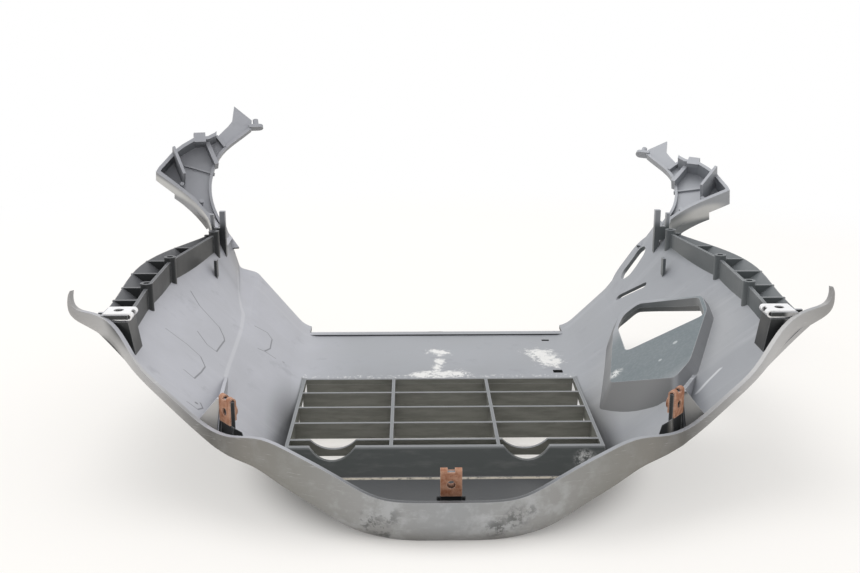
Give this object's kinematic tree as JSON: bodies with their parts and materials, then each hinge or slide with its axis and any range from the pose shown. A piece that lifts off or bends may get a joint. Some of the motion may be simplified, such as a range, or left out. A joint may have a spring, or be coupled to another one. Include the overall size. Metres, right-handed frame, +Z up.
{
  "type": "scooter lower body cowl",
  "caption": "Moulded belly cowl for a scooter: open tub with louvred grille, curved lip, ribbed side walls, side vent and two curved arms, held by clip nuts.",
  "frame": {"origin": "middle of the bounding box at its lowest level, on the ground the cowl lies on", "axes": "+X across the cowl to the side with the vent, +Y from the curved lip to the arms, +Z up out of the tub"},
  "size_m": [0.4728, 0.4426, 0.1935],
  "materials": {
    "black_plastic": "satin black moulded plastic, dusty, scuffed along the lip",
    "rusty_steel": "spring steel with surface rust",
    "bright_steel": "bright zinc-plated spring steel"
  },
  "bodies": {
    "root": {"lower_panel": "black_plastic", "front_clip_nuts": "rusty_steel", "side_clip_nuts": "bright_steel"}
  },
  "joints": []
}
